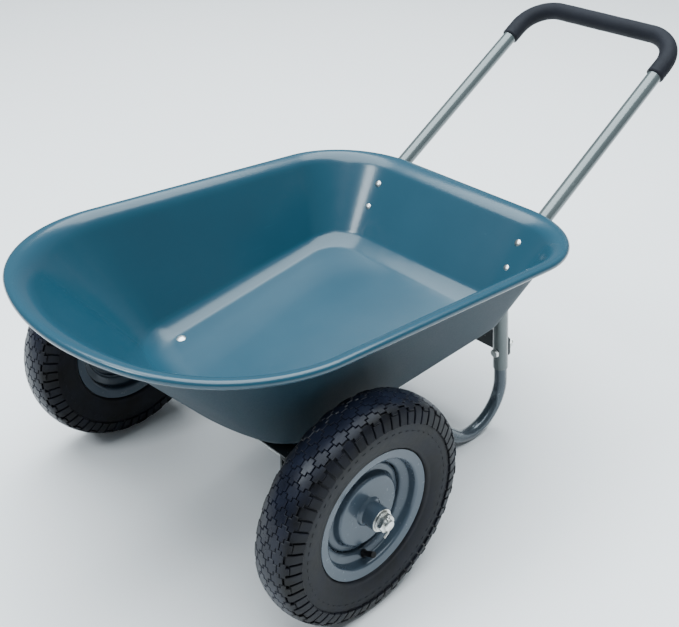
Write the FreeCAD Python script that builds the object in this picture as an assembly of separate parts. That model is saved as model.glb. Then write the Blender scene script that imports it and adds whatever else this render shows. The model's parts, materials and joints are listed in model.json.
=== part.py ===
import FreeCAD, Part
import math
import os

# Garden cart with two wheels: a moulded tub on a bent-tube frame, with a loop
# handle at the back. Millimetres, +X towards the tub's rounded nose, +Y left,
# +Z up, ground at z = 0. Every piece is drawn with the axle at x = 0 and is
# then slid forward by axle_x, so the origin is under the middle of the cart.

V = FreeCAD.Vector

# ---------------------------------------------------------------- wheels
tyre_radius = 165.0
wheel_y = 282.0
tyre_half_width = 34.2
flange_radius = 95.7
bead_seat_radius = 81.5
rim_well_radius = 68.0
rim_half_width = 25.7
rim_sheet = 2.0
plateau_u = 13.0
hub_half_length = 37.5
hub_outer_radius = 17.0
bearing_outer_radius = 14.25
valve_angle = 87.0

# ---------------------------------------------------------------- axle line
axle_radius = 8.0
axle_half_length = 335.5
axle_bore_gap = 0.05
bearing_width = 11.0
ball_radius = 2.4
ball_pitch_radius = 11.2
ball_gap = 0.05
balls_per_bearing = 9
cage_half_width = 0.5
cage_thickness = 0.8

# ---------------------------------------------------------------- frame
tube_y = 157.0
handle_tube_radius = 12.7
handle_tube_wall = 1.4
frame_tube_radius = 11.1
frame_tube_wall = 1.6
leg_lean = math.radians(6.9)
leg_point = V(-445.0, tube_y, 209.7)
foot_bend_radius = 70.0
brace_angle = math.radians(40.0)
rail_front_x = 23.4
rail_bend_radius = 70.0
sleeve_end_z = 114.0
frame_tube_top_z = 190.0
handle_slope = math.radians(31.7)
handle_point = V(-542.9, tube_y, 366.2)
handle_reach = 421.0
handle_bend_radius = 60.0
wall_bend_radius = 55.0
grip_radius = 16.0
grip_start = 331.0

# ---------------------------------------------------------------- tub
tub_wall = 3.5
wall_lean = math.radians(24.6)
floor_z = 204.9
floor_tilt = math.atan(-0.102)
rim_z = 410.0
rim_tilt = math.radians(3.585)
wall_top_share = 0.88
fillet_share = 0.10
floor_edge_share = 0.20
roll_radius = 6.0
roll_turn = 162

# Plan outlines: the floor's corner line, the line where the straight wall
# would meet the rim plane, and the crest of the rolled rim.
FLOOR = dict(back=-413.0, half=181.9, taper=-0.047, nose=52.0,
             nose_radius=420.0, shoulder=62.0, corner=62.0)
WALL_TOP = dict(back=-500.0, half=262.0, taper=0.0, nose=249.0,
                nose_radius=362.0, shoulder=212.0, corner=115.0)
CREST = dict(back=-526.0, half=278.5, taper=0.0, nose=268.5,
             nose_radius=370.0, shoulder=225.0, corner=145.0)

# ---------------------------------------------------------------- straps and fasteners
rear_strap_height = 38.0
rear_strap_overhang = 8.5
rear_strap_thickness = 3.0
front_strap_width = 24.0
front_strap_thickness = 2.5
bracket_half_length = 20.0
bracket_sheet = 3.0
bracket_gap = 0.4
bracket_bottom_z = 150.0
bracket_top_z = 197.0
leg_bolt_z = 150.0
floor_bolt_x = -34.0
wall_bolt_shares = (0.43, 0.705)
washer_thickness = 1.2
saddle_thickness = 5.2
m6 = dict(shank=3.0, head=7.0, dome=2.6, across_flats=10.0, nut=5.0)
m8 = dict(shank=4.0, head=8.0, dome=3.0, across_flats=13.0, nut=6.5)


# ================================================================ helpers
def mirrored(shape):
    """The same piece on the right-hand side."""
    return shape.mirror(V(0, 0, 0), V(0, 1, 0))


def both_sides(shape):
    return [shape, mirrored(shape)]


def placed(shape, point, direction):
    """Turn a piece drawn along +Z so that it points along direction."""
    turned_shape = shape.copy()
    turn = FreeCAD.Rotation(V(0, 0, 1), direction)
    turned_shape.Placement = FreeCAD.Placement(point, turn)
    return turned_shape


def bent_path(corners, radii):
    """Straight runs through the corners, joined by tangent arcs."""
    edges = []
    start = corners[0]
    for before, corner, after, radius in zip(corners, corners[1:], corners[2:], radii):
        into = (corner - before).normalize()
        out = (after - corner).normalize()
        half_turn = into.getAngle(out) / 2
        reach = radius * math.tan(half_turn)
        inward = (out - into).normalize()
        middle = corner + inward * (radius / math.cos(half_turn) - radius)
        edges.append(Part.LineSegment(start, corner - into * reach).toShape())
        edges.append(Part.Arc(corner - into * reach, middle, corner + out * reach).toShape())
        start = corner + out * reach
    edges.append(Part.LineSegment(start, corners[-1]).toShape())
    return Part.Wire(edges)


def rod_along(path, radius):
    first = path.OrderedEdges[0]
    start = first.valueAt(first.FirstParameter)
    tangent = first.tangentAt(first.FirstParameter)
    section = Part.Wire(Part.makeCircle(radius, start, tangent))
    return path.makePipeShell([section], True, False)


def tube_along(path, outer_radius, wall):
    return rod_along(path, outer_radius).cut(rod_along(path, outer_radius - wall))


def rounded_outline(points):
    """Closed outline in the XY plane through (x, y, corner radius) points."""
    count = len(points)
    edges = []
    ends = []
    for index in range(count):
        before = V(*points[index - 1][:2], 0)
        corner = V(*points[index][:2], 0)
        after = V(*points[(index + 1) % count][:2], 0)
        radius = points[index][2]
        into = (corner - before).normalize()
        out = (after - corner).normalize()
        if radius == 0:
            ends.append((corner, corner, None))
            continue
        half_turn = into.getAngle(out) / 2
        reach = radius * math.tan(half_turn)
        inward = (out - into).normalize()
        middle = corner + inward * (radius / math.cos(half_turn) - radius)
        ends.append((corner - into * reach, corner + out * reach, middle))
    for index in range(count):
        arc_start, arc_end, middle = ends[index]
        next_start = ends[(index + 1) % count][0]
        if middle is not None:
            edges.append(Part.Arc(arc_start, middle, arc_end).toShape())
        if (next_start - arc_end).Length > 1e-6:
            edges.append(Part.LineSegment(arc_end, next_start).toShape())
    return Part.Wire(edges)


def strip_outline(points, thickness):
    """Closed outline of sheet that follows (x, y, bend radius) points."""
    sides = ([], [])
    half = thickness / 2
    for index, (x, y, radius) in enumerate(points):
        here = V(x, y, 0)
        into = None if index == 0 else (here - V(*points[index - 1][:2], 0)).normalize()
        out = None if index == len(points) - 1 else (V(*points[index + 1][:2], 0) - here).normalize()
        into = into or out
        out = out or into
        along = (into + out).normalize()
        across = V(-along.y, along.x, 0)
        stretch = half / math.cos(into.getAngle(out) / 2)
        turn = into.x * out.y - into.y * out.x
        for side, sign in zip(sides, (1, -1)):
            side_radius = 0 if radius == 0 else radius - sign * half * math.copysign(1, turn)
            corner = here + across * (sign * stretch)
            side.append((corner.x, corner.y, side_radius))
    return rounded_outline(sides[0] + sides[1][::-1])


def turned(outline):
    """Solid of revolution about the Y axis of an outline at (radius, y)."""
    return Part.Face(outline).revolve(V(0, 0, 0), V(0, 1, 0), 360)


def turned_ring(inner_radius, outer_radius, y_low, y_high, edge=0.0):
    corners = ((inner_radius, y_low), (outer_radius, y_low),
               (outer_radius, y_high), (inner_radius, y_high))
    return turned(rounded_outline([(r, y, edge) for r, y in corners]))


def on_wheel(shape):
    """Move a piece drawn about the Y axis to the left wheel's centre."""
    return shape.translated(V(0, wheel_y, tyre_radius))


def on_axle(shape):
    return shape.translated(V(0, 0, tyre_radius))


def hexagon_prism(across_flats, height):
    corner_radius = across_flats / math.sqrt(3)
    corners = [V(corner_radius * math.cos(math.radians(60 * k)),
                 corner_radius * math.sin(math.radians(60 * k)), 0) for k in range(7)]
    prism = Part.Face(Part.makePolygon(corners)).extrude(V(0, 0, height))
    cone_top = across_flats / 2 * 1.02
    chamfer = Part.makeCone(cone_top + height, cone_top, height)
    return prism.common(chamfer)


def hex_nut(size):
    return hexagon_prism(size["across_flats"], size["nut"]).cut(
        Part.makeCylinder(size["shank"], size["nut"]))


def hex_bolt(size, length):
    """Head above z = 0, shank below it."""
    head = hexagon_prism(size["across_flats"], size["nut"] * 0.8)
    return head.fuse(Part.makeCylinder(size["shank"], length, V(0, 0, -length)))


def carriage_bolt(size, length):
    """Low domed head above z = 0, shank below it."""
    dome_radius = (size["head"] ** 2 + size["dome"] ** 2) / (2 * size["dome"])
    ball = Part.makeSphere(dome_radius, V(0, 0, size["dome"] - dome_radius))
    head = ball.common(Part.makeCylinder(size["head"] + 1, size["dome"] + 1))
    return head.fuse(Part.makeCylinder(size["shank"], length, V(0, 0, -length)))


def washer(hole_radius, outer_radius, thickness):
    """A disc whose top face is at z = 0."""
    disc = Part.makeCylinder(outer_radius, thickness, V(0, 0, -thickness))
    return disc.cut(Part.makeCylinder(hole_radius, thickness, V(0, 0, -thickness)))


def hole_cutter(radius, depth):
    return Part.makeCylinder(radius, 2 * depth, V(0, 0, -depth))


def group(shapes):
    return Part.makeCompound(shapes)


# ================================================================ tub
def blended(weights):
    """Mix the three plan outlines, floor, wall top and crest, by weight."""
    return {key: sum(weight * outline[key]
                     for weight, outline in zip(weights, (FLOOR, WALL_TOP, CREST)))
            for key in FLOOR}


def plan_points(plan, grow):
    """Joints and middles of the outline's half at y > 0, grown outwards."""
    stretch = math.hypot(1, plan["taper"])
    back = plan["back"] - grow
    half = plan["half"] + grow * stretch
    taper = plan["taper"]
    corner = plan["corner"] + grow
    shoulder = plan["shoulder"] + grow
    nose_radius = plan["nose_radius"] + grow
    nose_centre_x = plan["nose"] - plan["nose_radius"]
    reach = nose_radius - shoulder
    # The shoulder's centre lies inside the side line by its own radius and
    # inside the nose arc by the difference of the radii.
    inset = half - shoulder * stretch
    a = 1 + taper ** 2
    b = -2 * nose_centre_x + 2 * taper * inset
    c = nose_centre_x ** 2 + inset ** 2 - reach ** 2
    shoulder_x = (-b + math.sqrt(b * b - 4 * a * c)) / (2 * a)
    shoulder_y = inset + taper * shoulder_x
    corner_x = back + corner
    corner_y = half + taper * corner_x - corner * stretch
    side = V(-taper, 1, 0) / stretch
    nose_way = V(shoulder_x - nose_centre_x, shoulder_y, 0).normalize()
    shoulder_centre = V(shoulder_x, shoulder_y, 0)
    corner_centre = V(corner_x, corner_y, 0)
    return dict(
        back=V(back, corner_y, 0),
        corner_middle=corner_centre + (side + V(-1, 0, 0)).normalize() * corner,
        corner_side=corner_centre + side * corner,
        shoulder_side=shoulder_centre + side * shoulder,
        shoulder_middle=shoulder_centre + (side + nose_way).normalize() * shoulder,
        nose_side=V(nose_centre_x, 0, 0) + nose_way * nose_radius,
        nose_tip=V(nose_centre_x + nose_radius, 0, 0))


def ring(weights, height_share, grow=0.0, lift=0.0):
    """Closed wire round the tub at one level of its wall."""
    points = plan_points(blended(weights), grow)
    tilt = floor_tilt + (rim_tilt - floor_tilt) * height_share
    level = floor_z + (rim_z - floor_z) * height_share + lift

    def raised(point, side):
        return V(point.x * math.cos(tilt), side * point.y, level + point.x * math.sin(tilt))

    left = {name: raised(point, 1) for name, point in points.items()}
    right = {name: raised(point, -1) for name, point in points.items()}
    edges = [
        Part.LineSegment(right["back"], left["back"]),
        Part.Arc(left["back"], left["corner_middle"], left["corner_side"]),
        Part.LineSegment(left["corner_side"], left["shoulder_side"]),
        Part.Arc(left["shoulder_side"], left["shoulder_middle"], left["nose_side"]),
        Part.Arc(left["nose_side"], left["nose_tip"], right["nose_side"]),
        Part.Arc(right["nose_side"], right["shoulder_middle"], right["shoulder_side"]),
        Part.LineSegment(right["shoulder_side"], right["corner_side"]),
        Part.Arc(right["corner_side"], right["corner_middle"], right["back"])]
    return Part.Wire([edge.toShape() for edge in edges])


def wall_weights(share):
    return (1 - share, share, 0.0)


def floor_fillet_rings(outward_offset, downward_offset):
    """Rings up the rounded edge between floor and wall."""
    rings = []
    steps = 6
    for step in range(steps + 1):
        t = step / steps
        outward = -floor_edge_share * (1 - t) ** 2 + fillet_share * t ** 2
        upward = fillet_share * t ** 2
        angle = t * math.pi / 2
        rings.append(ring(wall_weights(outward), upward,
                          outward_offset * math.sin(angle), -downward_offset * math.cos(angle)))
    return rings


def flare_rings(grow, lift):
    """Rings where the wall flares out to the crest of the rim."""
    rings = []
    steps = 5
    for step in range(1, steps + 1):
        t = step / steps
        start = (1 - t) ** 2
        control = 2 * t * (1 - t)
        end = t ** 2
        weights = (start * (1 - wall_top_share), start * wall_top_share + control, end)
        height = start * wall_top_share + control + end
        rings.append(ring(weights, height, grow * (1 - t), lift * t))
    return rings


def rolled_edge_rings(radius, angles):
    crest = (0.0, 0.0, 1.0)
    return [ring(crest, 1.0, radius * math.sin(angle), radius * math.cos(angle) - roll_radius)
            for angle in angles]


def shell_between(rings):
    return Part.makeLoft(rings, False, True).Faces


def tub_body():
    turn = [math.radians(angle) for angle in range(18, roll_turn + 1, 18)]
    inner_radius = roll_radius - tub_wall + 0.5
    side_wall = tub_wall / math.cos(wall_lean)
    inside = floor_fillet_rings(0.0, 0.0)
    inside += [ring(wall_weights(wall_top_share), wall_top_share)]
    inside += flare_rings(0.0, 0.0)
    inside += rolled_edge_rings(roll_radius, turn)
    outside = rolled_edge_rings(inner_radius, turn[::-1])
    outside += flare_rings(side_wall, inner_radius - roll_radius)[::-1]
    outside += [ring(wall_weights(wall_top_share), wall_top_share, side_wall)]
    outside += floor_fillet_rings(side_wall, tub_wall / math.cos(floor_tilt))[::-1]
    faces = shell_between(inside + outside)
    faces += [Part.Face(inside[0]), Part.Face(outside[-1])]
    shell = Part.makeShell(faces)
    shell.sewShape()
    body = Part.makeSolid(shell)
    if body.Volume < 0:
        body.reverse()
    return body


def back_edge(share):
    """Back edge of the inner face's ring at this share of the height, at y = 0."""
    back = blended(wall_weights(share))["back"]
    tilt = floor_tilt + (rim_tilt - floor_tilt) * share
    level = floor_z + (rim_z - floor_z) * share
    return V(back * math.cos(tilt), 0, level + back * math.sin(tilt))


# The back wall is straight between its floor fillet and its flare.
wall_foot = back_edge(fillet_share)
wall_head = back_edge(wall_top_share)
wall_up = (wall_head - wall_foot).normalize()
wall_in = V(wall_up.z, 0, -wall_up.x)


def back_wall_point(share):
    """Point on the inner face of the straight back wall, at y = 0."""
    return wall_foot + (wall_head - wall_foot) * ((share - fillet_share) / (wall_top_share - fillet_share))


floor_up = V(-math.sin(floor_tilt), 0, math.cos(floor_tilt))


def floor_point(x, y, depth=0.0):
    """Point on the tub's floor, or depth below it."""
    return V(x, y, floor_z + x * math.tan(floor_tilt)) - floor_up * depth


# ================================================================ frame lines
leg_up = V(math.sin(leg_lean), 0, math.cos(leg_lean))


def leg_at(z):
    """Centre line of the leg, and of the handle tube's end that sleeves over it."""
    return leg_point + leg_up * ((z - leg_point.z) / leg_up.z)


def crossing(point_a, way_a, point_b, way_b):
    """Where two lines in one XZ plane cross."""
    det = way_a.x * way_b.z - way_a.z * way_b.x
    gap = point_b - point_a
    return point_a + way_a * ((gap.x * way_b.z - gap.z * way_b.x) / det)


wall_line = (back_wall_point(wall_bolt_shares[0]) + V(0, tube_y, 0)
             - wall_in * (tub_wall + handle_tube_radius))
handle_back = V(-math.cos(handle_slope), 0, math.sin(handle_slope))
handle_corner = handle_point + handle_back * handle_reach
rail_depth = tub_wall + front_strap_thickness + frame_tube_radius
rail_back = V(-math.cos(floor_tilt), 0, -math.sin(floor_tilt))
rail_front = floor_point(rail_front_x, tube_y, rail_depth)


def handle_path():
    lower = crossing(leg_point, leg_up, wall_line, wall_up)
    upper = crossing(wall_line, wall_up, handle_point, handle_back)
    left = [leg_at(sleeve_end_z), lower, upper, handle_corner]
    right = [V(p.x, -p.y, p.z) for p in left[::-1]]
    bends = [wall_bend_radius, wall_bend_radius, handle_bend_radius]
    return bent_path(left + right, bends + bends[::-1])


def frame_path():
    """Leg down to the foot, brace up under the floor, then the rail."""
    brace_up = V(math.cos(brace_angle), 0, math.sin(brace_angle))
    brace_down = V(brace_up.z, 0, -brace_up.x)
    foot_centre = leg_at(frame_tube_radius + foot_bend_radius) + V(foot_bend_radius / leg_up.z, 0, 0)
    brace_point = foot_centre + brace_down * foot_bend_radius
    foot_corner = crossing(leg_point, leg_up, brace_point, brace_up)
    rail_corner = crossing(rail_front, rail_back, brace_point, brace_up)
    return bent_path([leg_at(frame_tube_top_z), foot_corner, rail_corner, rail_front],
                     [foot_bend_radius, rail_bend_radius])


# ================================================================ pieces of the frame
def handle_tube():
    tube = tube_along(handle_path(), handle_tube_radius, handle_tube_wall)
    for hole in wall_bolt_holes(m6["shank"]) + leg_bolt_holes(m8["shank"]):
        tube = tube.cut(hole)
    return tube


def foam_grip():
    first = handle_point + handle_back * grip_start
    left = [first, handle_corner]
    right = [V(p.x, -p.y, p.z) for p in left[::-1]]
    path = bent_path(left + right, [handle_bend_radius, handle_bend_radius])
    return rod_along(path, grip_radius).cut(rod_along(path, handle_tube_radius))


def left_frame_tube():
    tube = tube_along(frame_path(), frame_tube_radius, frame_tube_wall)
    cutters = leg_bolt_holes(m8["shank"])[:1] + bracket_bolt_holes(m8["shank"])[:1]
    cutters += floor_bolt_holes(m8["shank"])[:1]
    for hole in cutters:
        tube = tube.cut(hole)
    return tube


def left_end_cap():
    plug = Part.makeCylinder(frame_tube_radius - frame_tube_wall - 0.1, 14.0, V(0, 0, -14.0))
    dome = Part.makeSphere(24.0, V(0, 0, 4.0 - 24.0))
    disc = Part.makeCylinder(frame_tube_radius, 4.5).common(dome)
    return placed(plug.fuse(disc), rail_front, rail_back * -1)


def wall_bolt_seats():
    return [(back_wall_point(share) + V(0, side * tube_y, 0), wall_in)
            for share in wall_bolt_shares for side in (1, -1)]


def wall_bolt_holes(radius):
    return [placed(hole_cutter(radius, 40.0), seat, inward) for seat, inward in wall_bolt_seats()]


def floor_bolt_seats():
    return [(floor_point(floor_bolt_x, side * tube_y), floor_up) for side in (1, -1)]


def floor_bolt_holes(radius):
    return [placed(hole_cutter(radius, 50.0), seat, up) for seat, up in floor_bolt_seats()]


leg_forward = V(leg_up.z, 0, -leg_up.x)


def leg_bolt_seats():
    """Where each strap bolt's head sits, on the front of the leg."""
    centre = leg_at(leg_bolt_z)
    seat = centre + leg_forward * handle_tube_radius
    return [(seat, leg_forward), (V(seat.x, -seat.y, seat.z), leg_forward)]


def leg_bolt_holes(radius):
    return [placed(hole_cutter(radius, 60.0), seat, way) for seat, way in leg_bolt_seats()]


def bracket_bolt_seats():
    height = floor_point(0, 0, rail_depth).z
    outer_face = tube_y + frame_tube_radius + bracket_gap + bracket_sheet
    return [(V(0, side * outer_face, height), V(0, side, 0)) for side in (1, -1)]


def bracket_bolt_holes(radius):
    return [placed(hole_cutter(radius, 60.0), seat, way) for seat, way in bracket_bolt_seats()]


def rear_strap():
    """Flat bar across the backs of both legs."""
    centre = leg_at(leg_bolt_z) - leg_forward * (handle_tube_radius + rear_strap_thickness / 2)
    half_length = tube_y + rear_strap_overhang
    bar = Part.makeBox(rear_strap_thickness, 2 * half_length, rear_strap_height,
                       V(-rear_strap_thickness / 2, -half_length, -rear_strap_height / 2))
    bar = bar.makeFillet(6.0, [edge for edge in bar.Edges if abs(edge.BoundBox.YLength) < 1e-6
                               and edge.BoundBox.ZLength < 1e-6])
    bar = bar.rotated(V(0, 0, 0), V(0, 1, 0), math.degrees(leg_lean))
    bar = bar.translated(V(centre.x, 0, centre.z))
    for hole in leg_bolt_holes(m8["shank"]):
        bar = bar.cut(hole)
    return bar


def front_strap():
    """Flat bar across the front ends of both rails, under the floor."""
    half_length = tube_y + frame_tube_radius
    bar = Part.makeBox(front_strap_width, 2 * half_length, front_strap_thickness,
                       V(-front_strap_width / 2, -half_length, 0))
    bar = bar.rotated(V(0, 0, 0), V(0, 1, 0), -math.degrees(floor_tilt))
    seat = floor_point(rail_front_x - 2.0, 0, tub_wall + front_strap_thickness)
    return bar.translated(seat)


def floor_spacers():
    """Thick washers that fill the strap's height at the floor bolts."""
    return group([placed(washer(m8["shank"], 11.0, front_strap_thickness),
                         seat - up * tub_wall, up) for seat, up in floor_bolt_seats()])


def left_axle_bracket():
    """Sheet channel that hugs the rail and carries the axle below it."""
    inner = frame_tube_radius + bracket_gap
    outer = inner + bracket_sheet
    length = 2 * bracket_half_length
    block = Part.makeBox(length, 2 * outer, bracket_top_z - bracket_bottom_z,
                         V(-bracket_half_length, tube_y - outer, bracket_bottom_z))
    lower_edges = [edge for edge in block.Edges
                   if edge.BoundBox.ZMax < bracket_bottom_z + 1e-6 and edge.BoundBox.XLength > length - 1]
    block = block.makeFillet(5.0, lower_edges)
    hollow = Part.makeBox(length, 2 * inner, bracket_top_z - bracket_bottom_z,
                          V(-bracket_half_length, tube_y - inner, bracket_bottom_z + bracket_sheet))
    hollow_edges = [edge for edge in hollow.Edges
                    if edge.BoundBox.ZMax < bracket_bottom_z + bracket_sheet + 1e-6
                    and edge.BoundBox.XLength > length - 1]
    channel = block.cut(hollow.makeFillet(2.0, hollow_edges))
    axle_hole = Part.makeCylinder(axle_radius, 4 * outer, V(0, tube_y - 2 * outer, tyre_radius), V(0, 1, 0))
    return channel.cut(axle_hole).cut(bracket_bolt_holes(m8["shank"])[0])


# ================================================================ fasteners
def bolt_stack(seats, bolt, grip, size, nut_washer, thicknesses):
    """A bolt in each seat, with its washer and nut at the far end of its grip."""
    bolts = [placed(bolt, seat, way) for seat, way in seats]
    washers = []
    nuts = []
    for (seat, way), thickness in zip(seats, thicknesses):
        far = seat - way * grip
        washers.append(placed(washer(size["shank"], nut_washer, thickness), far, way))
        nuts.append(placed(hex_nut(size), far - way * (thickness + size["nut"]), way))
    return group(bolts), group(washers), group(nuts)


# ================================================================ axle line
def axle():
    length = 2 * axle_half_length
    rod = Part.makeCylinder(axle_radius, length, V(0, -axle_half_length, 0), V(0, 1, 0))
    rod = rod.makeChamfer(1.2, [edge for edge in rod.Edges if abs(edge.BoundBox.YLength) < 1e-6])
    for side in (1, -1):
        rod = rod.cut(Part.makeCylinder(1.5, 40, V(0, side * (axle_half_length - 3.2), -20)))
    return on_axle(rod)


bearing_end_y = wheel_y + hub_half_length + 2.0
bearing_inner_radius = axle_radius + axle_bore_gap
axle_washer_thickness = 2.0
axle_nut = dict(shank=axle_radius, across_flats=23.0, nut=7.4)


def axle_nuts():
    nut = hex_nut(axle_nut)
    y = bearing_end_y + axle_washer_thickness
    return group([on_axle(placed(nut, V(0, side * y, 0), V(0, side, 0))) for side in (1, -1)])


def axle_washers():
    left = on_axle(turned_ring(bearing_inner_radius, 14.5, bearing_end_y,
                               bearing_end_y + axle_washer_thickness, 0.4))
    return group(both_sides(left))


def cotter_pins():
    """Split pin through the axle outside each nut, with its legs bent round."""
    y = axle_half_length - 3.2
    wire = bent_path([V(0, y, 11.0), V(0, y, -11.5), V(7.5, y, -17.0)], [3.0])
    pin = rod_along(wire, 1.4)
    eye = Part.makeTorus(2.6, 1.1, V(0, y, 12.5), V(0, 1, 0))
    return group([on_axle(side) for side in both_sides(pin.fuse(eye))])


def axle_spacers():
    """Tubes between each bracket and the wheel's inner bearing."""
    start = tube_y + frame_tube_radius + bracket_gap + bracket_sheet
    end = 2 * wheel_y - bearing_end_y
    left = on_axle(turned_ring(bearing_inner_radius, 11.0, start, end, 0.4))
    return group(both_sides(left))


def hub_spacers():
    """Tubes inside each hub, between its two bearings' inner rings."""
    half = hub_half_length - bearing_width + 0.5
    left = on_wheel(turned_ring(bearing_inner_radius, 9.6, -half, half))
    return group(both_sides(left))


def bearing_middles():
    middle = hub_half_length - bearing_width / 2
    return ((1, middle), (-1, -middle))


def groove(pitch_y):
    return Part.makeTorus(ball_pitch_radius, ball_radius + ball_gap, V(0, pitch_y, 0), V(0, 1, 0))


def bearing_inner_rings():
    """Inner rings of one wheel's two bearings. The outer end of each stands
    proud of the hub, where the washer or the spacer clamps it."""
    rings = []
    for side, middle in bearing_middles():
        inner_end = side * (hub_half_length - bearing_width + 0.5)
        outer_end = side * (hub_half_length + 2.0)
        low, high = sorted((inner_end, outer_end))
        rings.append(turned_ring(bearing_inner_radius, 9.9, low, high, 0.3).cut(groove(middle)))
    return rings


def bearing_outer_rings():
    """Pressed cups with a flange that covers the hub tube's end."""
    rings = []
    for side, middle in bearing_middles():
        inner_end = hub_half_length - bearing_width
        cup = turned(rounded_outline([
            (12.5, inner_end, 0.4), (bearing_outer_radius, inner_end, 0.8),
            (bearing_outer_radius, hub_half_length, 0), (16.4, hub_half_length, 0.4),
            (16.4, hub_half_length + 1.4, 0.6), (12.5, hub_half_length + 1.4, 0.4)]))
        if side < 0:
            cup = mirrored(cup)
        rings.append(cup.cut(groove(middle)))
    return rings


def bearing_balls():
    """Balls of one wheel's two bearings, each row between two cage rings."""
    pieces = []
    for side, middle in bearing_middles():
        for k in range(balls_per_bearing):
            angle = 2 * math.pi * k / balls_per_bearing
            centre = V(ball_pitch_radius * math.cos(angle), middle, ball_pitch_radius * math.sin(angle))
            pieces.append(Part.makeSphere(ball_radius, centre))
        for end in (1, -1):
            near = middle + end * (ball_radius + ball_gap)
            far = near + end * cage_thickness
            pieces.append(turned_ring(ball_pitch_radius - cage_half_width, ball_pitch_radius + cage_half_width,
                                      min(near, far), max(near, far)))
    return pieces


# ================================================================ wheel
def rim_profile():
    half = [(flange_radius, rim_half_width - 0.6, 0),
            (bead_seat_radius, rim_half_width - 2.2, 4.0),
            (bead_seat_radius - 1.5, 11.0, 4.0),
            (rim_well_radius, 6.0, 4.0)]
    other = [(r, -y, bend) for r, y, bend in half[::-1]]
    return half + other


def wheel_rim():
    """Pressed barrel with a bead seat, a centre well and two flanges."""
    barrel = turned(strip_outline(rim_profile(), rim_sheet))
    return barrel.cut(valve_hole())


def wheel_disc():
    """Dished disc between the well and the hub tube."""
    well_inside = rim_well_radius - rim_sheet
    points = [(well_inside, -5.0, 0), (well_inside, 3.0, 4.5), (55.0, 3.0, 4.0),
              (51.0, plateau_u, 4.0), (hub_outer_radius, plateau_u, 0)]
    return turned(strip_outline(points, rim_sheet))


def hub_tube():
    return turned_ring(bearing_outer_radius, hub_outer_radius, -hub_half_length, hub_half_length, 0.5)


def weld_bead():
    """Fillet weld between the hub tube and the disc's outer face."""
    face = plateau_u + rim_sheet / 2
    return turned(rounded_outline([(hub_outer_radius, face, 0), (hub_outer_radius + 4.5, face, 0),
                                   (hub_outer_radius + 2.6, face + 2.6, 1.5),
                                   (hub_outer_radius, face + 4.5, 0)]))


def carcass_outline(points):
    """Closed outline of arcs, from a start and (middle, end) pairs."""
    edges = []
    start = V(*points[0], 0)
    for middle, end in points[1:]:
        stop = V(*end, 0)
        if middle is None:
            edges.append(Part.LineSegment(start, stop).toShape())
        else:
            edges.append(Part.Arc(start, V(*middle, 0), stop).toShape())
        start = stop
    return Part.Wire(edges)


bead_face = rim_half_width - 3.4
tread_corner = (161.0, 22.5)
shoulder = (151.0, 31.8)


def tyre():
    """Rubber carcass, open towards the rim, at its size over the tread."""
    seat = bead_seat_radius + rim_sheet / 2 + 0.1
    outline = carcass_outline([
        (seat + 4.0, bead_face),
        (None, (flange_radius + 1.0, bead_face)),
        (None, (flange_radius + 1.6, rim_half_width + 1.0)),
        ((127.0, tyre_half_width), shoulder),
        ((157.2, 28.6), tread_corner),
        ((tyre_radius, 0.0), (tread_corner[0], -tread_corner[1])),
        ((157.2, -28.6), (shoulder[0], -shoulder[1])),
        ((127.0, -tyre_half_width), (flange_radius + 1.6, -rim_half_width - 1.0)),
        (None, (flange_radius + 1.0, -bead_face)),
        (None, (seat + 4.0, -bead_face)),
        (None, (seat, -bead_face + 4.0)),
        (None, (seat, -bead_face + 7.0)),
        (None, (flange_radius + 2.0, -bead_face + 5.0)),
        ((127.0, -tyre_half_width + 5.5), (148.0, -25.5)),
        ((155.8, 0.0), (148.0, 25.5)),
        ((127.0, tyre_half_width - 5.5), (flange_radius + 2.0, bead_face - 5.0)),
        (None, (seat, bead_face - 7.0)),
        (None, (seat, bead_face - 4.0)),
        (None, (seat + 4.0, bead_face))])
    return turned(outline)


def inner_tube():
    """Air tube inside the carcass, a thin closed ring with air in it."""
    skin = 2.0
    low = rim_well_radius + 3.0
    high = tyre_radius - 19.0

    def section(inset):
        side = [(low + inset, 4.5 - inset, 2.5), (bead_seat_radius + 6.5, 13.0 - inset, 5.0),
                (bead_seat_radius + 28.5, 21.0 - inset, 12.0), (high - inset, 22.0 - inset, 14.0 - inset)]
        other = [(r, -y, bend) for r, y, bend in side[::-1]]
        return turned(rounded_outline(side + other))

    return section(0.0).cut(section(skin))


valve_way = V(-0.45, 0.89, 0).normalize()


def at_valve(shape):
    """Place a piece drawn with the valve on the +X side, stem outwards."""
    return shape.rotated(V(0, 0, 0), V(0, 1, 0), valve_angle)


valve_foot = V(rim_well_radius + 5.5, 9.5, 0)


def valve_hole():
    hole = placed(Part.makeCylinder(4.2, 30.0, V(0, 0, -15.0)), valve_foot, valve_way)
    return at_valve(hole)


def valve_stem():
    """Rubber-covered stem through the rim, with its base in the air tube."""
    stem = Part.makeCylinder(3.9, 20.0, V(0, 0, -7.0))
    collar = Part.makeCone(5.6, 4.4, 3.0, V(0, 0, 1.6))
    thread = Part.makeCylinder(2.6, 4.0, V(0, 0, 13.0))
    return at_valve(placed(stem.fuse(collar).fuse(thread), valve_foot, valve_way))


def valve_cap():
    shell = Part.makeCylinder(4.4, 8.5, V(0, 0, 13.4)).cut(Part.makeCylinder(2.6, 3.6, V(0, 0, 13.4)))
    return at_valve(placed(shell, valve_foot, valve_way))


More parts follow.
